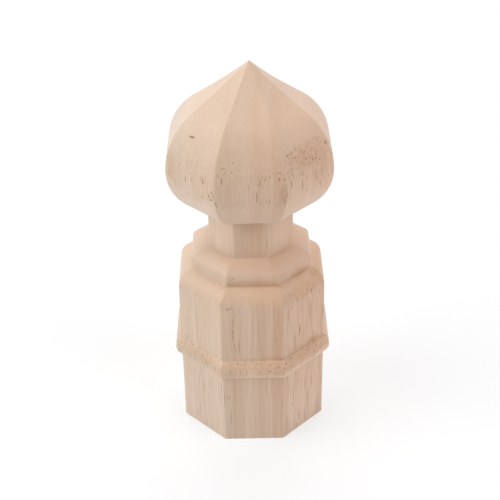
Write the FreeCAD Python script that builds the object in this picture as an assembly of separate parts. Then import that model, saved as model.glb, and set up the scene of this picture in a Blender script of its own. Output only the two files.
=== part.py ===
# Newel post cap: one piece of wood with eight flats from its foot to its tip.
# The origin is the centre of the flat underside, +Z is up, and one flat faces -Y.
# Lengths are millimetres and turns are degrees.
import FreeCAD, Part
import math
import os

# Opposite flats come in pairs, four of them on an octagon
flat_pairs = 4

# Block at the foot
block_flats = 74.4
block_height = 41.0

# Bead round the top of the block
bead_height = 11.4
bead_projection = 2.8

# Body: a little proud of the block at its foot, and tapered to its head
body_height = 31.4
body_proud = 0.3
body_taper = 0.4

# Shoulder that rounds the body over to the collar
shoulder_rise = 9.3
shoulder_step = 6.9

# Collar: an upright wall, a tight round at its edge, and a shallow top that runs in to the neck
collar_wall = 4.4
collar_round = 4.0
collar_round_turn = 50.0
collar_rise = 6.3
collar_step = 9.1

neck_height = 21.1

# Dome: a bowl up to the widest line, a crown above it, and a hollow sweep to the tip
dome_flats = 80.6
bowl_rise = 25.5
crown_rise = 28.8
crown_step = 14.9
tip_rise = 20.8

up = FreeCAD.Vector(0, 0, 1)
down = FreeCAD.Vector(0, 0, -1)


def at(apothem, height):
    """Point of the outline. The apothem is the distance from the axis to a flat."""
    return FreeCAD.Vector(apothem, 0, height)


def arc_from(start, along, end):
    """Round edge that sets off from start in the direction along and stops at end."""
    chord = end - start
    inward = (chord - along * chord.dot(along)).normalize()
    radius = chord.Length ** 2 / (2 * chord.dot(inward))
    centre = start + inward * radius
    middle = centre + (start + end - centre * 2).normalize() * radius
    return Part.Arc(start, middle, end).toShape()


def carry_on(edge, end):
    """Round edge that leaves the end of another without a corner and stops at end."""
    return arc_from(edge.Vertexes[-1].Point, edge.tangentAt(edge.LastParameter), end)


def half_profile():
    """Edges of the outline on one side of the axis, from the foot up to the tip."""
    block = block_flats / 2
    body_foot = block + body_proud
    bead = body_foot + bead_projection
    body_head = body_foot - body_taper
    collar = body_head - shoulder_step
    neck = collar - collar_step
    dome = dome_flats / 2
    crown = dome - crown_step

    bead_middle = block_height + bead_height / 2
    bead_top = block_height + bead_height
    body_top = bead_top + body_height
    shoulder_top = body_top + shoulder_rise
    wall_top = shoulder_top + collar_wall
    collar_top = wall_top + collar_rise
    neck_top = collar_top + neck_height
    widest = neck_top + bowl_rise
    crown_top = widest + crown_rise
    tip = crown_top + tip_rise

    turn = math.radians(collar_round_turn)
    round_end = at(collar - collar_round * (1 - math.cos(turn)), wall_top + collar_round * math.sin(turn))
    collar_edge = arc_from(at(collar, wall_top), up, round_end)
    crown_edge = arc_from(at(dome, widest), up, at(crown, crown_top))

    return [
        Part.makeLine(at(block, 0), at(block, block_height)),
        arc_from(at(bead, bead_middle), down, at(block, block_height)),
        arc_from(at(bead, bead_middle), up, at(body_foot, bead_top)),
        Part.makeLine(at(body_foot, bead_top), at(body_head, body_top)),
        arc_from(at(body_head, body_top), up, at(collar, shoulder_top)),
        Part.makeLine(at(collar, shoulder_top), at(collar, wall_top)),
        collar_edge,
        carry_on(collar_edge, at(neck, collar_top)),
        Part.makeLine(at(neck, collar_top), at(neck, neck_top)),
        arc_from(at(dome, widest), down, at(neck, neck_top)),
        crown_edge,
        carry_on(crown_edge, at(0, tip)),
    ]


def outline():
    """Flat face of the whole cap seen square on to a flat, closed along the underside."""
    right = half_profile()
    left = [edge.mirror(at(0, 0), FreeCAD.Vector(1, 0, 0)) for edge in right]
    underside = Part.makeLine(at(-block_flats / 2, 0), at(block_flats / 2, 0))
    return Part.Face(Part.Wire(Part.__sortEdges__(right + left + [underside])))


def flat_pair(face, turn):
    """Bar of the outline's section, which gives the cap two opposite flats."""
    length = 2 * face.BoundBox.XLength
    bar = face.extrude(FreeCAD.Vector(0, length, 0))
    bar.translate(FreeCAD.Vector(0, -length / 2, 0))
    bar.rotate(at(0, 0), up, turn)
    return bar


def post_cap():
    """The wood that the bars of all flats have in common, with a mitred arris between flats."""
    face = outline()
    cap = flat_pair(face, 0)
    for pair in range(1, flat_pairs):
        cap = cap.common(flat_pair(face, pair * 180 / flat_pairs))
    return cap.Solids[0]


os.makedirs("parts", exist_ok=True)
post_cap().exportStep("parts/post_cap.step")
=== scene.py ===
import bpy
import math
from mathutils import Matrix, Vector


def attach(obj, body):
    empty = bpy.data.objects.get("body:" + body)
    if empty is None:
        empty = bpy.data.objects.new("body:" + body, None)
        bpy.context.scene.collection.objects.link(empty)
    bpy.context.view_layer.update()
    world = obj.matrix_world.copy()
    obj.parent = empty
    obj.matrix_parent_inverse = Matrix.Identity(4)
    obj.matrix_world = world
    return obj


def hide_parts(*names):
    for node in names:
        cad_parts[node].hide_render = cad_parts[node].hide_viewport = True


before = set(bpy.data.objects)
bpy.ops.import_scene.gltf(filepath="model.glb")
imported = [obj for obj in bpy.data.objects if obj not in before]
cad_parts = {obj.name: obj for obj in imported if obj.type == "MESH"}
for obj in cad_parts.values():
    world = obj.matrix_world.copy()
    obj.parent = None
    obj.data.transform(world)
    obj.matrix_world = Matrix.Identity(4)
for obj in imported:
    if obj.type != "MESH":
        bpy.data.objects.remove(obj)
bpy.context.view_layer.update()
print("frame loaded,", len(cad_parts), "CAD node")

perMetre = 1000  # the dents and the grain are in millimetres

# Raw wooden post cap: widths are across opposite flats, all in metres and degrees
capShape = {
    "node": "post_cap",
    "slot": "raw_wood",
    "flats": 8,
    "blockWidth": 0.0744,
    "blockHeight": 0.041,
    "beadHeight": 0.0114,
    "beadProud": 0.0028,
    "bodyHeight": 0.0314,
    "bodyProud": 0.0003,
    "bodyTaper": 0.0004,
    "shoulderRise": 0.0093,
    "shoulderStep": 0.0069,
    "wallHeight": 0.0044,
    "collarRound": 0.004,
    "collarTurn": 50,
    "collarRise": 0.0063,
    "collarStep": 0.0091,
    "neckHeight": 0.0211,
    "domeWidth": 0.0806,
    "bowlRise": 0.0255,
    "crownRise": 0.0288,
    "crownStep": 0.0149,
    "tipRise": 0.0208,
    "cornerEase": 0.00035,  # how far sanding rounds the creases and the foot's edge
    "arrisEase": 0.00045,  # how far it rounds the arrises at the foot
    "arrisSteps": 3,
    "tipRadius": 0.0004,
    "tipLean": (0.188, 0.00055, 1.5),  # the tip leans to the right: from this height, how far, and how curved
    "ringGap": 0.0014,  # between rings of faces, and half as much on the mouldings
    "arcSteps": 4,  # the fewest on a round
    "columns": 22,  # of faces on each flat
    "smoothAngle": 30,
}


def deselectAll():
    if bpy.context.object and bpy.context.object.mode != "OBJECT":
        bpy.ops.object.mode_set(mode="OBJECT")
    bpy.ops.object.select_all(action="DESELECT")


def straightTo(path, end):
    start = path[-1]
    steps = max(1, round(math.dist(start, end) / capShape["ringGap"]))
    for i in range(1, steps + 1):
        path.append((start[0] + (end[0] - start[0]) * i / steps, start[1] + (end[1] - start[1]) * i / steps))


def arcPoints(start, heading, end, gap):
    # circle that leaves start along heading and passes through end
    chord = Vector(end) - Vector(start)
    along = Vector(heading).normalized()
    inward = (chord - along * chord.dot(along)).normalized()
    radius = chord.length_squared / (2 * chord.dot(inward))
    centre = Vector(start) + inward * radius
    turn = 2 * chord.angle(along)
    steps = max(capShape["arcSteps"], round(turn * radius / gap))
    points = []
    for i in range(steps + 1):
        angle = turn * i / steps
        points.append(tuple(centre - inward * radius * math.cos(angle) + along * radius * math.sin(angle)))
    lastHeading = along * math.cos(turn) + inward * math.sin(turn)
    return points, tuple(lastHeading)


def capProfile():
    # (apothem, height) from the foot's edge to the tip, the places of its creases, and the tip's height
    s = capShape
    block = s["blockWidth"] / 2
    bodyFoot = block + s["bodyProud"]
    bead = bodyFoot + s["beadProud"]
    bodyHead = bodyFoot - s["bodyTaper"]
    collar = bodyHead - s["shoulderStep"]
    neck = collar - s["collarStep"]
    dome = s["domeWidth"] / 2
    crown = dome - s["crownStep"]
    beadTop = s["blockHeight"] + s["beadHeight"]
    bodyTop = beadTop + s["bodyHeight"]
    shoulderTop = bodyTop + s["shoulderRise"]
    wallTop = shoulderTop + s["wallHeight"]
    collarTop = wallTop + s["collarRise"]
    neckTopShadow = collarTop + s["neckHeight"]
    widest = neckTopShadow + s["bowlRise"]
    crownTop = widest + s["crownRise"]
    tip = crownTop + s["tipRise"]
    up, down = (0, 1), (0, -1)
    fine = s["ringGap"] / 2
    turn = math.radians(s["collarTurn"])
    roundEnd = (collar - s["collarRound"] * (1 - math.cos(turn)), wallTop + s["collarRound"] * math.sin(turn))

    path = [(block, 0)]
    corners = [0]
    straightTo(path, (block, s["blockHeight"]))
    corners.append(len(path) - 1)
    lower, _ = arcPoints((bead, s["blockHeight"] + s["beadHeight"] / 2), down, path[-1], fine)
    path += lower[-2::-1]
    upper, _ = arcPoints(path[-1], up, (bodyFoot, beadTop), fine)
    path += upper[1:]
    corners.append(len(path) - 1)
    straightTo(path, (bodyHead, bodyTop))
    shoulder, _ = arcPoints(path[-1], up, (collar, shoulderTop), fine)
    path += shoulder[1:]
    corners.append(len(path) - 1)
    straightTo(path, (collar, wallTop))
    edge, heading = arcPoints(path[-1], up, roundEnd, fine)
    path += edge[1:]
    top, _ = arcPoints(path[-1], heading, (neck, collarTop), fine)
    path += top[1:]
    corners.append(len(path) - 1)
    straightTo(path, (neck, neckTopShadow))
    corners.append(len(path) - 1)
    bowl, _ = arcPoints((dome, widest), down, (neck, neckTopShadow), s["ringGap"])
    path += bowl[-2::-1]
    rise, heading = arcPoints(path[-1], up, (crown, crownTop), s["ringGap"])
    path += rise[1:]
    sweep, _ = arcPoints(path[-1], heading, (0, tip), s["ringGap"])
    path += [p for p in sweep[1:] if p[0] > s["tipRadius"]]
    # the last ring, just under the tip
    path.append((s["tipRadius"] / 2, tip - s["tipRadius"] / 3))
    return path, corners, tip


def softenCorners(path, corners, ease):
    # each marked corner becomes a short round of three points
    soft = []
    for i, point in enumerate(path):
        if i not in corners:
            soft.append(point)
            continue
        here = Vector(point)
        before = Vector(path[i - 1]) if i else Vector((0, point[1]))
        after = Vector(path[i + 1])
        a = here + (before - here).normalized() * ease
        b = here + (after - here).normalized() * ease
        soft += [tuple(a), tuple((a + b + here * 2) / 4), tuple(b)]
    return soft


# Dents in the surface, in millimetres and degrees: place, lean, half sizes (across, up), depth
dents = {
    "fleck": ((-26.6, -20.9, 170.9), -7, (2.7, 0.85), 0.35),
    "chipLeft": ((-19.2, -37.9, 148.6), 12, (0.6, 2.2), 0.3),
    "chipRight": ((-17.0, -40.0, 148.6), -12, (0.6, 2.0), 0.3),
    "chipFoot": ((-18.2, -38.8, 146.4), 0, (1.3, 0.7), 0.25),
}

dentWork = {
    "rings": (1, 0.75, 0.5, 0.25),  # a dent is pressed in these shares of its half sizes
    "cutShare": 1.3,  # and its faces are cut finer out to this share
    "cuts": 4,
    "reach": (6, 2),  # no dent goes further than this along the surface and into it
}


def pressDents(cap):
    farthest, deepest = dentWork["reach"]
    rings = dentWork["rings"]
    for place, lean, size, depth in dents.values():
        _, spot, normal, _ = cap.closest_point_on_mesh(Vector(place) / perMetre)
        level = Vector((-normal.y, normal.x, 0)).normalized()
        across = Matrix.Rotation(math.radians(lean), 3, normal) @ level
        upward = normal.cross(across)

        def shareOf(vertex):
            away = (vertex.co - spot) * perMetre
            if away.length > farthest or abs(away.dot(normal)) > deepest:
                return math.inf
            return math.hypot(away.dot(across) / size[0], away.dot(upward) / size[1])

        bpy.ops.object.mode_set(mode="EDIT")
        bpy.ops.mesh.select_mode(type="FACE")
        bpy.ops.mesh.select_all(action="DESELECT")
        bpy.ops.object.mode_set(mode="OBJECT")
        share = [shareOf(vertex) for vertex in cap.data.vertices]
        for face in cap.data.polygons:
            face.select = min(share[v] for v in face.vertices) < dentWork["cutShare"]
        bpy.ops.object.mode_set(mode="EDIT")
        bpy.ops.mesh.subdivide(number_cuts=dentWork["cuts"])
        bpy.ops.mesh.select_mode(type="VERT")
        for ring in rings:
            bpy.ops.mesh.select_all(action="DESELECT")
            bpy.ops.object.mode_set(mode="OBJECT")
            for vertex in cap.data.vertices:
                vertex.select = shareOf(vertex) < ring
            bpy.ops.object.mode_set(mode="EDIT")
            bpy.ops.transform.translate(value=normal * -depth / (perMetre * len(rings)))
        bpy.ops.mesh.select_all(action="DESELECT")
        bpy.ops.object.mode_set(mode="OBJECT")


def buildCap():
    s = capShape
    path, corners, tip = capProfile()
    rings = softenCorners(path, corners, s["cornerEase"])
    halfAngle = math.pi / s["flats"]
    firstRadius = rings[0][0] / math.cos(halfAngle)
    deselectAll()
    bpy.ops.mesh.primitive_circle_add(vertices=s["flats"], radius=firstRadius, fill_type="NGON",
                                      location=(0, 0, 0), rotation=(0, 0, halfAngle))
    cap = bpy.context.object
    cap.name = "capWood"
    cap.data.name = "capWood"
    bpy.ops.object.transform_apply(location=True, rotation=True, scale=True)
    bpy.ops.object.mode_set(mode="EDIT")
    bpy.ops.mesh.select_all(action="SELECT")
    bpy.ops.mesh.bevel(offset=s["arrisEase"], segments=s["arrisSteps"], affect="VERTICES")
    bpy.ops.mesh.select_all(action="DESELECT")
    bpy.ops.object.mode_set(mode="OBJECT")
    # the long edges are the foot of the flats
    for edge in cap.data.edges:
        a, b = (cap.data.vertices[v].co for v in edge.vertices)
        edge.select = (a - b).length > s["blockWidth"] / 4
    bpy.ops.object.mode_set(mode="EDIT")
    bpy.ops.mesh.select_mode(type="EDGE")
    bpy.ops.mesh.subdivide(number_cuts=s["columns"] - 1)
    bpy.ops.mesh.select_mode(type="FACE")
    bpy.ops.mesh.select_all(action="SELECT")
    leanStart, lean, curve = s["tipLean"]
    aside = 0
    for (lastWidth, lastHeight), (width, height) in zip(rings, rings[1:]):
        step = lean * max(0, (height - leanStart) / (tip - leanStart)) ** curve - aside
        aside += step
        bpy.ops.mesh.extrude_region_move(TRANSFORM_OT_translate={"value": (step, 0, height - lastHeight)})
        grow = width / lastWidth
        bpy.ops.transform.resize(value=(grow, grow, 1), center_override=(aside, 0, height))
    bpy.ops.mesh.extrude_region_move(TRANSFORM_OT_translate={"value": (0, 0, tip - rings[-1][1])})
    bpy.ops.mesh.merge(type="CENTER")
    bpy.ops.mesh.select_all(action="SELECT")
    bpy.ops.mesh.normals_make_consistent(inside=False)
    bpy.ops.object.mode_set(mode="OBJECT")
    pressDents(cap)
    bpy.ops.object.shade_smooth_by_angle(angle=math.radians(s["smoothAngle"]))
    print("cap modelled:", len(rings), "rings,", len(cap.data.polygons), "faces")
    return cap


# Bare sanded hardwood: lengths and heights in millimetres, strengths as shares of the colour.
# A slope is 0 on an upright face and 1 on a level one.
rawWood = {
    "pale": (0.735, 0.554, 0.42),
    "warm": (0.565, 0.354, 0.226),
    "pith": (110, -25),  # the tree's middle, far off to the right of the blank
    # how dark the growth is at each distance from the pith
    "years": ((60, 0.45), (66, 0.35), (66.7, 0.6), (72, 0.35), (72.7, 0.6), (78, 0.4), (78.7, 0.6), (84, 0.4),
              (84.7, 0.6), (90, 0.45), (95, 0.6), (95.6, 0.88), (100.6, 0.95), (101.3, 0.35), (103.5, 0.42),
              (106.2, 0.72), (107, 1), (107.8, 0.75), (110.5, 0.42), (113, 0.1), (116, 0.42), (119.6, 0.48),
              (120.2, 0.9), (121.5, 0.65), (124, 0.45), (130, 0.4), (137, 0.6), (137.7, 0.35), (150, 0.5)),
    "sway": 3.0,  # the most that the grain wanders, over about swayLength
    "swayLength": 60,
    "yearShare": 0.55,  # how much of the colour the years take
    "bands": ((5, 160, 0.58), (1.1, 50, 0.88), (0.5, 16, 0.68)),  # width, length and share of the streaks
    "slopeCalm": (0.15, 0.6, 0.6),  # end grain is calmer: from and to these slopes, how much
    "calmByHeight": ((0, 0.85), (41, 1), (84, 1), (92, 0.5), (100, 0.5), (104, 0.6), (128, 0.55), (140, 1),
                     (200, 1)),
    "patch": (38, 0.3),  # size and share of the cloudy patches
    "poreSpacing": (0.46, 18),  # across and along the grain
    "poreSize": 0.5,  # its half width, as a share of the spacing
    "poreLeast": 0.4,  # the narrowest pore, as a share of the widest
    "poreCore": 0.15,  # share of a pore that is fully dark
    "poreTorn": 0.85,  # how much wider a pore gets where the slope cuts it
    "poreDark": 0.75,
    # width and length of the clumps of pores, how blurred they are, and the share left between them
    "clump": (6, 22, 0.1, 0.25),
    # share of the cells that hold a pore at each height, for three distances from the pith
    "pores": ((91, ((0, 1), (40, 1), (44, 0.5), (50, 0.5), (56, 1), (81, 1), (87, 0.15), (92, 0), (145, 0),
                    (149, 0.25), (157, 0.15), (160, 0.8), (167, 0.9), (170, 0), (190, 0))),
              (97, ((0, 0.1), (40, 0.15), (46, 0.25), (56, 0.12), (81, 0.1), (86, 0), (146, 0), (156, 0),
                    (159, 0.15), (165, 0.05), (168, 0), (190, 0))),
              (128, ((0, 0.25), (40, 0.25), (44, 0.45), (50, 0.5), (56, 0.2), (81, 0.15), (85, 0), (146, 0),
                     (150, 0.15), (155, 0.15), (158, 0), (190, 0)))),
    # painted shade in the inside corners, darker on their upright side: height, reach, darkness
    "creases": ((41, 1.0, 0.17), (52.4, 2.4, 0.15), (93.1, 1.2, 0.15)),
    "creaseLine": 0.2,  # half the width that is fully dark
    "creaseSlope": (0.1, 0.5),  # they fade between these slopes
    "shadedSideFade": (105, 132),  # the painted shade fades out between these distances from the pith, towards the lit left side, and so does the painted light on the bead's underside
    "beadLip": ((40.9, 0), (41.2, 1), (43.4, 1), (46.6, 0)),  # painted bounce light from the white table on the bead's underside: its share at each height
    "beadLipBounceLight": (0.14, 0.22, 0.2),  # how much paler that painted light makes it in red, green and blue
    "footBounceLight": ((0, 0.1), (40.5, 0.02), (41.5, 0)),  # painted bounce light from the white table: how much paler the block is at each height
    "slopeTint": (1.015, 0.99, 0.95),  # the warmer end grain of the bead, shoulder and collar
    "slopeTintFrom": (0.05, 0.4),  # it comes in between these slopes
    "slopeTintTop": (88, 100),  # and goes between these heights
    # the tint near the pith and far from it, and the two distances
    "heartTint": (1.057, 1.0, 0.98),
    "outerTint": (0.925, 1.0, 1.03),
    "tintReach": (75, 150),
    "markFade": 0.65,  # share of a mark's half size over which it fades out
    "markFray": (1.6, 0.5),  # how fine its frayed edge is, and how far it frays
    # what is dark is also browner: powers of the dark for red and blue
    "brownMark": (0.76, 1.24),
    "brownPore": (0.62, 1.34),
    "brownShade": (0.52, 1.45),
    "roughness": 0.52,
    "specular": 0.5,
    "fuzz": 0.25,  # raised fibres, which pale the faces seen along them
    "fuzzTint": (0.9, 0.95, 1.05),
    "fibreBump": (0.5, 12, 0.6),  # width, length and share of the raised fibres, beside the sunk pores
    "bump": 0.00004,  # metres
}

# Marks of this one piece of wood, with some painted shade and light among them, in millimetres and degrees:
# place, turn round the piece, lean, half sizes (across, into, up), darkness, which is below 0 where the
# surface is paler
woodMarksAndPaintedLight = {
    "fleck": ((-26.6, -20.9, 170.9), -45, -7, (2.4, 2.0, 0.75), 0.62),
    "fleckShade": ((-29.0, -20.8, 168.7), -45, -10, (1.6, 1.5, 0.45), 0.14),
    "tornLeft": ((-19.2, -37.9, 149.0), -45, 8, (0.5, 1.5, 1.8), 0.75),
    "tornRight": ((-17.2, -39.7, 150.2), -20, -10, (0.4, 1.5, 1.9), 0.5),
    "tornPale": ((-18.1, -39.0, 148.9), -30, 0, (0.5, 1.5, 1.5), -0.12),
    "tornTop": ((-17.9, -38.9, 151.6), -30, 0, (1.0, 1.5, 1.4), 0.27),
    "tornSide": ((-17.7, -39.1, 149.2), -30, 0, (0.5, 1.5, 1.2), 0.25),
    "tornFoot": ((-18.4, -38.5, 147.2), -30, 70, (0.6, 1.5, 1.6), 0.75),
    "tornTail": ((-16.0, -39.6, 145.6), -20, -12, (0.8, 1.5, 2.8), 0.34),
    "bodyEye": ((-11.6, -37.0, 84.5), 0, 2, (2.3, 1.5, 0.6), 0.38),
    "bodyEyeLeft": ((-12.6, -37.1, 83.7), 0, 0, (0.9, 1.5, 0.6), 0.28),
    "bodyTick": ((-6.0, -36.8, 85.5), 0, 0, (0.9, 1.5, 0.4), 0.25),
    "bodyTickFoot": ((-6.3, -37.1, 82.4), 0, 0, (0.3, 1.5, 2.2), 0.22),
    "waveTop": ((-9.9, -37.3, 75.8), 0, 5, (0.35, 1.5, 4.2), 0.34),
    "waveKnot": ((-9.9, -37.3, 70.6), 0, -15, (0.5, 1.5, 1.6), 0.45),
    "waveMiddle": ((-10.1, -37.3, 67.8), 0, -6, (0.4, 1.5, 4.0), 0.34),
    "waveFoot": ((-8.8, -37.4, 61.0), 0, -17, (0.35, 1.5, 4.4), 0.3),
    "bodyStreak": ((3.0, -37.3, 70.0), 0, -2, (0.45, 1.5, 20.0), 0.13),
    "bodyDashFar": ((-23.5, -29.2, 69.4), -45, 0, (0.4, 1.5, 2.4), 0.36),
    "bodySlit": ((23.9, -28.9, 65.6), 45, 0, (0.36, 1.5, 5.0), 0.62),
    "bodySlitLow": ((21.5, -31.3, 60.6), 45, 0, (0.4, 1.5, 7.0), 0.45),
    "bodySlitTop": ((22.4, -29.8, 84.0), 45, 0, (0.4, 1.5, 1.9), 0.4),
    "bodyPitLeft": ((27.7, -24.0, 86.2), 45, 0, (0.5, 1.5, 1.1), 0.45),
    "bodyPitRight": ((29.8, -22.4, 84.5), 45, 0, (0.45, 1.5, 2.2), 0.6),
    "bodyPitFar": ((34.3, -18.3, 81.6), 45, 0, (0.36, 1.5, 3.0), 0.45),
    "shoulderTick": ((-15.2, -36.2, 86.6), -20, 0, (1.0, 1.5, 2.4), 0.15),
    # painted shade in the crease where the collar's wall meets the shoulder, at its right end
    "shoulderEndShade": ((31.4, -14.8, 91.0), 60, 0, (5.0, 4.0, 2.6), 0.19),
    "collarTick": ((-9.0, -30.1, 97.7), 0, 0, (1.2, 1.5, 0.8), 0.24),
    "neckStreak": ((7.9, -21.1, 111.4), 0, 0, (0.7, 1.5, 6.0), 0.18),
    "blockSpot": ((20.5, -32.0, 18.6), 45, 0, (1.5, 1.5, 1.2), 0.2),
    "blockRingLine": ((-26.1, -26.5, 21.0), -45, 0, (0.6, 1.5, 17.0), 0.14),
    # painted bounce light from the white table, low on the block's right front flat
    "blockBounceLight": ((26.3, -26.3, 12.0), 45, 0, (17.0, 3.0, 30.0), -0.06),
    # darker low at the left end of the bead
    "beadEnd": ((-38.5, -18.0, 45.2), -45, 0, (3.0, 3.0, 2.2), 0.16),
    "beadCorner": ((-38.3, -17.8, 44.8), -45, 0, (1.2, 2.0, 1.3), 0.24),
    "beadFarShade": ((-27.5, -27.5, 48.5), -45, 0, (18.0, 4.0, 6.0), 0.13),
    # painted bounce light from the white table on the dome's underside, front left
    "bowlFootBounceLight": ((-24.0, -24.0, 140.0), -45, 0, (24.0, 10.0, 9.0), -0.06),
    # painted highlight on the crown's left flat, which faces the strongest lamp
    "crownFarHighlight": ((-34.0, 0.0, 172.0), -90, 0, (24.0, 14.0, 30.0), -0.07),
    # painted light on the neck's side flats, lighter than the front under the dome
    "neckLightLeft": ((-15.0, -15.0, 114.0), -45, 0, (10.0, 2.0, 15.0), -0.09),
    "neckLightRight": ((15.0, -15.0, 114.0), 45, 0, (10.0, 2.0, 15.0), -0.05),
    "blockEye": ((-13.7, -37.2, 28.6), 0, 0, (0.45, 1.5, 1.9), 0.3),
    "blockEyeDash": ((-12.6, -37.2, 27.9), 0, 0, (0.5, 1.5, 1.5), 0.32),
    "blockEyeRight": ((-12.5, -37.2, 29.6), 0, 0, (0.9, 1.5, 0.4), 0.25),
    "bowlDashLeft": ((-13.1, -39.7, 157.6), 0, 0, (0.32, 1.5, 3.0), 0.62),
    "bowlDotUpper": ((-12.4, -37.9, 163.1), 0, 0, (0.7, 1.5, 0.5), 0.4),
    "bowlFlaw": ((4.2, -39.5, 157.3), 0, -8, (1.1, 1.5, 2.6), 0.1),
    "bowlDashMiddle": ((3.0, -40.2, 149.0), 0, 2, (0.34, 1.5, 4.0), 0.55),
    "bowlDashNext": ((7.6, -40.2, 147.0), 0, 0, (0.3, 1.5, 2.0), 0.32),
    "bowlDashRight": ((8.9, -40.1, 146.6), 0, -3, (0.3, 1.5, 2.2), 0.38),
    "bowlDashA": ((-30.3, -26.7, 152.2), -45, 0, (0.34, 1.5, 2.6), 0.62),
    "bowlDashB": ((-27.3, -29.5, 153.4), -45, 0, (0.34, 1.5, 2.4), 0.45),
    "bowlDashC": ((-22.8, -33.6, 156.2), -45, 0, (0.26, 1.5, 2.4), 0.5),
    "bowlDashD": ((-21.9, -34.6, 155.3), -45, 0, (0.32, 1.5, 2.8), 0.68),
    "bowlDashE": ((-20.5, -35.9, 156.4), -45, 0, (0.26, 1.5, 2.4), 0.4),
    "bowlDashF": ((-23.2, -33.3, 146.0), -45, 0, (0.32, 1.5, 2.0), 0.5),
    "bowlDashG": ((-22.1, -34.5, 146.5), -45, 0, (0.34, 1.5, 2.2), 0.6),
    "bowlDashH": ((19.0, -37.6, 154.2), 45, 0, (0.5, 1.5, 3.6), 0.42),
    "bowlDashI": ((24.3, -32.7, 151.2), 45, 0, (0.42, 1.5, 4.6), 0.48),
    "bowlDashJ": ((31.1, -25.8, 152.4), 45, 0, (0.4, 1.5, 4.4), 0.45),
    "bowlDashK": ((34.0, -22.9, 152.5), 45, 0, (0.4, 1.5, 4.0), 0.3),
    "bowlDashL": ((-35.3, -21.4, 147.2), -45, 0, (0.34, 1.5, 3.5), 0.4),
    "bowlDashM": ((16.9, -40.1, 150.1), 20, 0, (0.5, 1.5, 1.8), 0.28),
    "crownEdge": ((35.8, -16.6, 165.1), 45, 0, (1.1, 2.0, 1.4), 0.42),
    "bowlDotNear": ((19.4, -36.2, 158.7), 45, 0, (0.7, 1.5, 1.0), 0.35),
    "bowlDotNext": ((19.9, -36.1, 157.3), 45, 0, (0.6, 1.5, 1.2), 0.3),
    "bowlDotRight": ((13.4, -39.5, 158.1), 0, 0, (0.5, 1.5, 1.2), 0.5),
    "bowlDotHigh": ((13.1, -38.7, 160.9), 0, 0, (0.8, 1.5, 0.5), 0.36),
    "bowlDotWide": ((15.6, -39.5, 157.9), 0, 0, (0.9, 1.5, 0.9), 0.3),
    "bowlStain": ((15.7, -40.3, 149.5), 0, 0, (3.0, 1.2, 12.0), 0.15),
    "bowlStainFoot": ((16.0, -40.1, 146.4), 0, 0, (1.0, 1.2, 4.0), 0.12),
}

# Dots of torn grain that lie close together: turn round the piece, half sizes, darkness, and their places
tornDots = {
    "bead": (20, (1.2, 1.8, 0.9), 0.26,
             ((16.0, -39.6, 49.1), (16.7, -38.0, 51.1), (19.4, -34.6, 51.6), (14.2, -37.5, 52.7),
              (12.9, -39.4, 49.7), (8.7, -40.0, 47.7))),
    "beadRight": (45, (0.7, 1.5, 1.4), 0.28,
                  ((35.1, -21.3, 48.1), (35.4, -17.9, 52.2), (32.0, -20.9, 57.7), (38.2, -18.1, 48.3))),
    "crown": (45, (0.62, 1.5, 0.55), 0.48,
              ((26.3, -27.8, 162.3), (27.6, -26.4, 162.3), (29.3, -25.4, 160.8), (31.2, -22.9, 162.3),
               (31.2, -23.7, 160.6), (19.3, -31.3, 167.6), (17.2, -33.9, 167.1), (20.9, -29.3, 168.1),
               (32.7, -22.7, 159.3), (21.0, -31.5, 165.0), (23.9, -27.8, 166.1))),
    "bowl": (0, (0.6, 1.5, 0.9), 0.24,
             ((5.5, -39.2, 159.0), (6.8, -39.5, 157.8), (9.1, -39.2, 158.9), (4.0, -39.9, 155.5),
              (5.6, -40.0, 155.0), (-14.6, -39.0, 159.8), (-5.4, -38.2, 162.3), (-12.0, -38.7, 160.9),
              (-8.6, -38.6, 161.3))),
}

# Wide warm patches of the wood, and painted shade in creases and under the dome, written as the marks are
warmPatchesAndShade = {
    "bodyRingLine": ((-28.2, -24.6, 65.0), -45, -4, (0.95, 1.5, 19.0), 0.15),
    "bodyHeart": ((12.3, -37.3, 68.0), 0, 0, (3.6, 1.5, 24.0), 0.1),
    "beadFront": ((0.0, -39.5, 50.8), 0, 0, (20.0, 2.5, 3.4), 0.05),
    "beadRight": ((27.8, -27.8, 48.5), 45, 0, (18.0, 4.0, 5.0), 0.06),
    # painted shade in the crease above the bead
    "beadCreaseShade": ((26.5, -27.0, 54.4), 45, 0, (15.0, 2.5, 3.0), 0.09),
    "beadCreaseShadeFar": ((32.0, -22.0, 54.0), 45, 0, (6.0, 2.5, 3.4), 0.24),
    "beadCreaseShadeFront": ((10.0, -37.6, 54.2), 0, 0, (8.0, 2.0, 2.6), 0.1),
    "shoulderRight": ((26.5, -26.0, 88.0), 45, 0, (22.0, 5.0, 7.0), 0.1),
    "shoulderSide": ((36.0, 0.0, 89.0), 90, 0, (26.0, 8.0, 14.0), 0.13),
    # painted shade in the crease at the foot of the collar's wall
    "wallShade": ((0.0, -30.2, 93.4), 0, 0, (24.0, 1.5, 4.4), 0.19),
    "collarCreaseShade": ((23.5, -18.5, 94.0), 45, 0, (9.0, 2.5, 3.6), 0.16),
    # painted shade on the neck's front, and painted shadow under the dome at its top
    "neckFrontShade": ((0.0, -21.1, 114.0), 0, 0, (10.0, 2.0, 15.0), 0.07),
    "neckTopShadow": ((0.0, -21.1, 125.0), 0, 0, (12.0, 2.0, 9.0), 0.1),
    "bowlEdgeFar": ((-37.2, -19.5, 155.0), -45, 0, (3.0, 3.0, 10.0), 0.1),
    "bowlEdgeRight": ((34.9, -20.6, 158.7), 45, 0, (3.0, 3.0, 11.0), 0.1),
    "crownDots": ((25.5, -28.0, 163.5), 45, 0, (13.0, 4.0, 7.0), 0.08),
    "crownRight": ((27.0, -27.0, 166.0), 45, 0, (18.0, 6.0, 16.0), 0.04),
    "tipPale": ((0.0, 0.0, 196.0), 0, 0, (30.0, 30.0, 24.0), -0.035),
}


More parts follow.
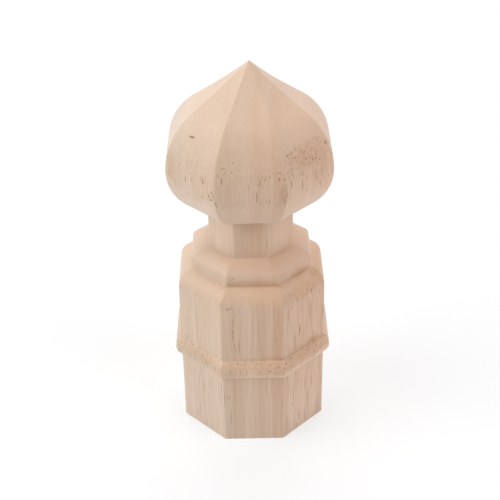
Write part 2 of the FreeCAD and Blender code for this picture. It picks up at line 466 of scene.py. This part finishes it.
def addNode(nodes, kind, inputs=None, **settings):
    made = nodes.new("ShaderNode" + kind)
    for name, value in settings.items():
        setattr(made, name, value)
    for name, value in (inputs or {}).items():
        if isinstance(value, bpy.types.NodeSocket):
            nodes.id_data.links.new(value, made.inputs[name])
        else:
            made.inputs[name].default_value = value
    return made


def mathNode(nodes, operation, first, second=0.0, third=0.0):
    made = addNode(nodes, "Math", {0: first, 1: second, 2: third}, operation=operation)
    return made.outputs[0]


def vectorNode(nodes, operation, first, second):
    return addNode(nodes, "VectorMath", {0: first, 1: second}, operation=operation).outputs[0]


def mixNode(nodes, share, first, second, blend="MIX"):
    # its colours go into sockets 6 and 7
    made = addNode(nodes, "Mix", {0: share, 6: first, 7: second}, data_type="RGBA", blend_type=blend)
    return made.outputs[2]


def stepNode(nodes, value, low, high, lowValue=0.0, highValue=1.0):
    # as shareNode, but eased at both ends
    made = addNode(nodes, "MapRange", {"Value": value, "From Min": low, "From Max": high,
                                       "To Min": lowValue, "To Max": highValue},
                   interpolation_type="SMOOTHSTEP")
    return made.outputs[0]


def shareNode(nodes, value, low, high, lowValue=0.0, highValue=1.0):
    # a straight run from lowValue at low to highValue at high
    made = addNode(nodes, "MapRange", {"Value": value, "From Min": low, "From Max": high,
                                       "To Min": lowValue, "To Max": highValue})
    return made.outputs[0]


def rampNode(nodes, value, stops):
    # straight runs between (value, share) pairs
    low, high = stops[0][0], stops[-1][0]
    made = addNode(nodes, "ValToRGB", {"Fac": shareNode(nodes, value, low, high)})
    points = made.color_ramp.elements
    for place, share in stops[1:-1]:
        points.new((place - low) / (high - low)).color = (share, share, share, 1)
    points[0].color = (stops[0][1],) * 3 + (1,)
    points[len(points) - 1].color = (stops[-1][1],) * 3 + (1,)
    return made.outputs["Color"]


def scaledNode(nodes, coords, scale, shift=(0, 0, 0)):
    made = addNode(nodes, "Mapping", {"Vector": coords, "Scale": scale, "Location": shift})
    return made.outputs[0]


def streakNode(nodes, coords, width, length):
    # noise about 0, shifted by its own width so that no two kinds line up
    stretched = scaledNode(nodes, coords, (1 / width, 1 / width, 1 / length), (width * 7, width * 3, width))
    made = addNode(nodes, "TexNoise", {"Vector": stretched, "Scale": 1.0, "Detail": 2.0, "Roughness": 0.55})
    return mathNode(nodes, "SUBTRACT", made.outputs["Fac"], 0.5)


def wanderNode(nodes, coords, scale, detail):
    # a vector about 0 that drifts from place to place
    made = addNode(nodes, "TexNoise", {"Vector": coords, "Scale": scale, "Detail": detail})
    return vectorNode(nodes, "SUBTRACT", made.outputs["Color"], (0.5, 0.5, 0.5))


def markedNode(nodes, coords, marks, shade):
    # each mark is a soft ball, pressed to its size and turned to its flat
    for place, turn, lean, size, dark in marks.values():
        local = addNode(nodes, "Mapping", {"Vector": coords, "Location": place, "Scale": size,
                                           "Rotation": (0, math.radians(lean), math.radians(turn))},
                        vector_type="TEXTURE")
        near = addNode(nodes, "TexGradient", {"Vector": local.outputs[0]}, gradient_type="SPHERICAL")
        mark = stepNode(nodes, near.outputs["Fac"], 0.0, rawWood["markFade"], 1.0, 1 - dark)
        shade = mathNode(nodes, "MULTIPLY", shade, mark)
    return shade


def tintNode(nodes, shade, powers):
    red, blue = powers
    made = addNode(nodes, "CombineColor", {0: mathNode(nodes, "POWER", shade, red), 1: shade,
                                           2: mathNode(nodes, "POWER", shade, blue)})
    return made.outputs[0]


def grainNodes(nodes, spot):
    # the grain runs up the piece and wanders a little, and the years go round the pith
    w = rawWood
    wander = wanderNode(nodes, spot, 1 / w["swayLength"], detail=1.0)
    wander = vectorNode(nodes, "MULTIPLY", wander, (w["sway"], w["sway"], 0))
    along = vectorNode(nodes, "ADD", spot, wander)
    away = vectorNode(nodes, "SUBTRACT", along, w["pith"] + (0,))
    away = vectorNode(nodes, "MULTIPLY", away, (1, 1, 0))
    fromPith = addNode(nodes, "VectorMath", {0: away}, operation="LENGTH").outputs["Value"]
    return along, fromPith


def figureNodes(nodes, spot, along, fromPith, level, slope):
    w = rawWood
    years = rampNode(nodes, fromPith, w["years"])
    figure = mathNode(nodes, "MULTIPLY", mathNode(nodes, "SUBTRACT", years, 0.5), w["yearShare"])

    # fibres in three widths, calmer on the slopes, and cloudy patches
    for width, length, share in w["bands"]:
        figure = mathNode(nodes, "MULTIPLY_ADD", streakNode(nodes, along, width, length), share, figure)
    low, high, share = w["slopeCalm"]
    calm = stepNode(nodes, slope, low, high, 1.0, 1 - share)
    calm = mathNode(nodes, "MULTIPLY", calm, rampNode(nodes, level, w["calmByHeight"]))
    tone = mathNode(nodes, "MULTIPLY_ADD", figure, calm, 0.5)
    size, share = w["patch"]
    tone = mathNode(nodes, "MULTIPLY_ADD", streakNode(nodes, spot, size, size), share, tone)
    colour = mixNode(nodes, tone, w["pale"] + (1,), w["warm"] + (1,))

    # warmer end grain below the collar's top
    warmth = stepNode(nodes, slope, *w["slopeTintFrom"])
    warmth = mathNode(nodes, "MULTIPLY", warmth, stepNode(nodes, level, *w["slopeTintTop"], 1.0, 0.0))
    return mixNode(nodes, warmth, colour, w["slopeTint"] + (1,), "MULTIPLY")


def poreNodes(nodes, spot, along, fromPith, level, slope):
    # vessels: dark dashes on upright faces, and dots where a slope cuts across them
    w = rawWood
    width, length = w["poreSpacing"]
    cells = scaledNode(nodes, spot, (1 / width, 1 / width, 1 / length))
    cells = addNode(nodes, "TexVoronoi", {"Vector": cells, "Scale": 1.0})
    chance = addNode(nodes, "SeparateColor", {0: cells.outputs["Color"]})
    many = rampNode(nodes, level, w["pores"][0][1])
    for (near, _), (far, shares) in zip(w["pores"], w["pores"][1:]):
        many = shareNode(nodes, fromPith, near, far, many, rampNode(nodes, level, shares))
    width, length, blur, least = w["clump"]
    clump = stepNode(nodes, streakNode(nodes, along, width, length), -blur, blur, least, 1.0)
    many = mathNode(nodes, "MULTIPLY", many, clump)
    size = mathNode(nodes, "LESS_THAN", chance.outputs[0], many)
    size = mathNode(nodes, "MULTIPLY", size, stepNode(nodes, chance.outputs[1], 0, 1, w["poreLeast"], 1.0))
    torn = mathNode(nodes, "MULTIPLY_ADD", slope, w["poreTorn"], 1.0)
    size = mathNode(nodes, "MULTIPLY", size, mathNode(nodes, "MULTIPLY", torn, w["poreSize"]))
    size = mathNode(nodes, "ADD", size, 0.001)  # never nothing, so that its edge can be worked out
    core = mathNode(nodes, "MULTIPLY", size, w["poreCore"])
    return stepNode(nodes, cells.outputs["Distance"], core, size, 1.0, 0.0)


def paintedShadeAndLight(nodes, fromPith, level, slope):
    # painted shade in the inside corners, and painted bounce light from the white table on the bead's
    # underside and on the block's foot
    w = rawWood
    shadedSide = stepNode(nodes, fromPith, *w["shadedSideFade"], 1.0, 0.0)
    upright = stepNode(nodes, slope, *w["creaseSlope"], 1.0, 0.0)
    upright = mathNode(nodes, "MULTIPLY", upright, shadedSide)
    shade = 1.0
    # painted shade along each crease
    for place, reach, dark in w["creases"]:
        gap = mathNode(nodes, "ABSOLUTE", mathNode(nodes, "SUBTRACT", level, place))
        corner = stepNode(nodes, gap, w["creaseLine"], reach, dark, 0.0)
        corner = mathNode(nodes, "MULTIPLY", corner, upright)
        shade = mathNode(nodes, "MULTIPLY", shade, mathNode(nodes, "SUBTRACT", 1.0, corner))
    # painted bounce light on the bead's underside
    lipLight = mathNode(nodes, "MULTIPLY", rampNode(nodes, level, w["beadLip"]), shadedSide)
    lipLight = addNode(nodes, "VectorMath", {0: w["beadLipBounceLight"], 3: lipLight}, operation="SCALE").outputs[0]
    lipLight = vectorNode(nodes, "ADD", lipLight, (1, 1, 1))
    # painted bounce light on the block's foot
    foot = mathNode(nodes, "ADD", rampNode(nodes, level, w["footBounceLight"]), 1.0)
    return mathNode(nodes, "MULTIPLY", shade, foot), lipLight


def markNodes(nodes, spot, shade):
    # the marks, the warm patches and the painted shade and light, with frayed edges
    fine, reach = rawWood["markFray"]
    fray = wanderNode(nodes, spot, fine, detail=2.0)
    frayed = vectorNode(nodes, "ADD", spot, scaledNode(nodes, fray, (reach, reach, reach)))
    marks = markedNode(nodes, frayed, woodMarksAndPaintedLight, 1.0)
    for turn, size, dark, places in tornDots.values():
        dots = {place: (place, turn, 0, size, dark) for place in places}
        marks = markedNode(nodes, frayed, dots, marks)
    return marks, markedNode(nodes, frayed, warmPatchesAndShade, shade)


def woodMaterial():
    w = rawWood
    wood = bpy.data.materials.new("rawWood")
    wood.use_nodes = True
    nodes = wood.node_tree.nodes
    shader = nodes["Principled BSDF"]
    surface = addNode(nodes, "TexCoord")
    spot = scaledNode(nodes, surface.outputs["Object"], (perMetre, perMetre, perMetre))
    slope = addNode(nodes, "SeparateXYZ", {0: surface.outputs["Normal"]}).outputs["Z"]
    slope = mathNode(nodes, "ABSOLUTE", slope)
    level = addNode(nodes, "SeparateXYZ", {0: spot}).outputs["Z"]

    along, fromPith = grainNodes(nodes, spot)
    colour = figureNodes(nodes, spot, along, fromPith, level, slope)
    pore = poreNodes(nodes, spot, along, fromPith, level, slope)
    pores = mathNode(nodes, "MULTIPLY_ADD", pore, -w["poreDark"], 1.0)
    shade, lipLight = paintedShadeAndLight(nodes, fromPith, level, slope)
    marks, shade = markNodes(nodes, spot, shade)
    darks = {"brownMark": marks, "brownPore": pores, "brownShade": shade}
    tints = [tintNode(nodes, dark, w[name]) for name, dark in darks.items()]
    heart = shareNode(nodes, fromPith, *w["tintReach"])
    heart = mixNode(nodes, heart, w["heartTint"] + (1,), w["outerTint"] + (1,))
    for tint in [heart, lipLight] + tints:
        colour = vectorNode(nodes, "MULTIPLY", colour, tint)

    width, length, share = w["fibreBump"]
    height = mathNode(nodes, "MULTIPLY_ADD", streakNode(nodes, along, width, length), share, 0.5)
    height = mathNode(nodes, "SUBTRACT", height, pore)
    relief = addNode(nodes, "Bump", {"Height": height, "Strength": 1.0, "Distance": w["bump"]})
    wood.node_tree.links.new(colour, shader.inputs["Base Color"])
    wood.node_tree.links.new(relief.outputs["Normal"], shader.inputs["Normal"])
    shader.inputs["Roughness"].default_value = w["roughness"]
    shader.inputs["Specular IOR Level"].default_value = w["specular"]
    shader.inputs["Sheen Weight"].default_value = w["fuzz"]
    shader.inputs["Sheen Tint"].default_value = w["fuzzTint"] + (1,)
    print("wood made with", len(nodes), "nodes")
    return wood


# Plain white studio, in metres and degrees
studio = {
    "floorSize": 6,
    "floorWhite": (0.9, 0.9, 0.9),
    "plainWhite": (1, 1, 1),
    "tableGlow": 0.025,  # the white table is lit from below too
    "shadowShare": 0.35,  # how much of the floor that the camera sees is lit, the rest is plain white
    "shadowFade": (0.25, 0.8),  # over these distances from the piece the floor turns plain white
    "air": 0.05,  # strength of the white air on the piece
    "lampDistance": 1.6,
    "lampAim": (0, 0, 0.1),
    # turn round the piece from the camera's side, rise above the floor, size, watts
    "lamps": {
        "left": (-75, 30, 1.4, 18.9),
        "leftHigh": (-90, 60, 0.9, 4.6),
        "backLeft": (-150, 30, 0.9, 4.0),
        "back": (180, 60, 0.9, 8.6),
        "backRight": (150, 36, 0.9, 4.7),
        "right": (60, 36, 1.1, 13.7),
    },
}


def seenOnly(nodes):
    # 1 for what the camera, gloss and glass see, 0 for the light that falls on the piece
    path = addNode(nodes, "LightPath")
    seen = mathNode(nodes, "MAXIMUM", path.outputs["Is Camera Ray"], path.outputs["Is Glossy Ray"])
    return mathNode(nodes, "MAXIMUM", seen, path.outputs["Is Transmission Ray"])


def buildFloor():
    deselectAll()
    bpy.ops.mesh.primitive_plane_add(size=studio["floorSize"], location=(0, 0, 0))
    floor = bpy.context.object
    floor.name = "floor"
    paper = bpy.data.materials.new("whitePaper")
    paper.use_nodes = True
    nodes = paper.node_tree.nodes
    white = studio["plainWhite"] + (1,)
    lit = addNode(nodes, "BsdfDiffuse", {"Color": studio["floorWhite"] + (1,)})
    under = addNode(nodes, "Emission", {"Color": white, "Strength": studio["tableGlow"]})
    lit = addNode(nodes, "AddShader", {0: lit.outputs[0], 1: under.outputs[0]})
    glow = addNode(nodes, "Emission", {"Color": white, "Strength": 1.0})
    away = addNode(nodes, "TexCoord").outputs["Object"]
    away = addNode(nodes, "VectorMath", {0: away}, operation="LENGTH").outputs["Value"]
    seen = seenOnly(nodes)
    share = stepNode(nodes, away, *studio["shadowFade"], 1 - studio["shadowShare"], 1.0)
    share = mathNode(nodes, "MULTIPLY", seen, share)
    mixed = addNode(nodes, "MixShader", {0: share, 1: lit.outputs[0], 2: glow.outputs[0]})
    paper.node_tree.links.new(mixed.outputs[0], nodes["Material Output"].inputs["Surface"])
    floor.data.materials.append(paper)
    print("floor laid")


def buildLights():
    world = bpy.data.worlds.new("studioAir")
    bpy.context.scene.world = world
    world.use_nodes = True
    nodes = world.node_tree.nodes
    air = shareNode(nodes, seenOnly(nodes), 0, 1)
    air = mathNode(nodes, "MULTIPLY_ADD", air, 1 - studio["air"], studio["air"])
    world.node_tree.links.new(air, nodes["Background"].inputs["Strength"])
    nodes["Background"].inputs["Color"].default_value = studio["plainWhite"] + (1,)
    for name, (turn, rise, size, watts) in studio["lamps"].items():
        turn, rise = math.radians(turn), math.radians(rise)
        towards = Vector((math.sin(turn) * math.cos(rise), -math.cos(turn) * math.cos(rise), math.sin(rise)))
        light = bpy.data.lights.new(name, "AREA")
        light.shape = "SQUARE"
        light.size = size
        light.energy = watts
        lamp = bpy.data.objects.new(name, light)
        lamp.location = Vector(studio["lampAim"]) + towards * studio["lampDistance"]
        lamp.rotation_euler = towards.to_track_quat("Z", "Y").to_euler()
        lamp.visible_camera = False
        bpy.context.scene.collection.objects.link(lamp)
    print("studio lit with", len(studio["lamps"]), "lamps")


# Metres and degrees, the lens and the width of its sensor in millimetres
photoCamera = {
    "place": (-0.0012, -0.4833, 0.4000),
    "tiltDown": 32.22,
    "turnLeft": -0.08,
    "roll": -0.99,
    "lens": 79.72,
    "sensor": 36,
}


def placeCamera():
    c = photoCamera
    lens = bpy.data.cameras.new("photoCamera")
    lens.sensor_fit = "HORIZONTAL"
    lens.sensor_width = c["sensor"]
    lens.lens = c["lens"]
    camera = bpy.data.objects.new("photoCamera", lens)
    bpy.context.scene.collection.objects.link(camera)
    camera.matrix_world = (Matrix.Translation(c["place"])
                           @ Matrix.Rotation(math.radians(c["turnLeft"]), 4, "Z")
                           @ Matrix.Rotation(math.radians(90 - c["tiltDown"]), 4, "X")
                           @ Matrix.Rotation(math.radians(c["roll"]), 4, "Z"))
    bpy.context.scene.camera = camera
    print("camera placed")


cap = buildCap()
cap.data.materials.append(woodMaterial())
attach(cap, "root")
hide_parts(capShape["node"])
buildFloor()
buildLights()
placeCamera()
bpy.context.scene.view_settings.view_transform = "Standard"
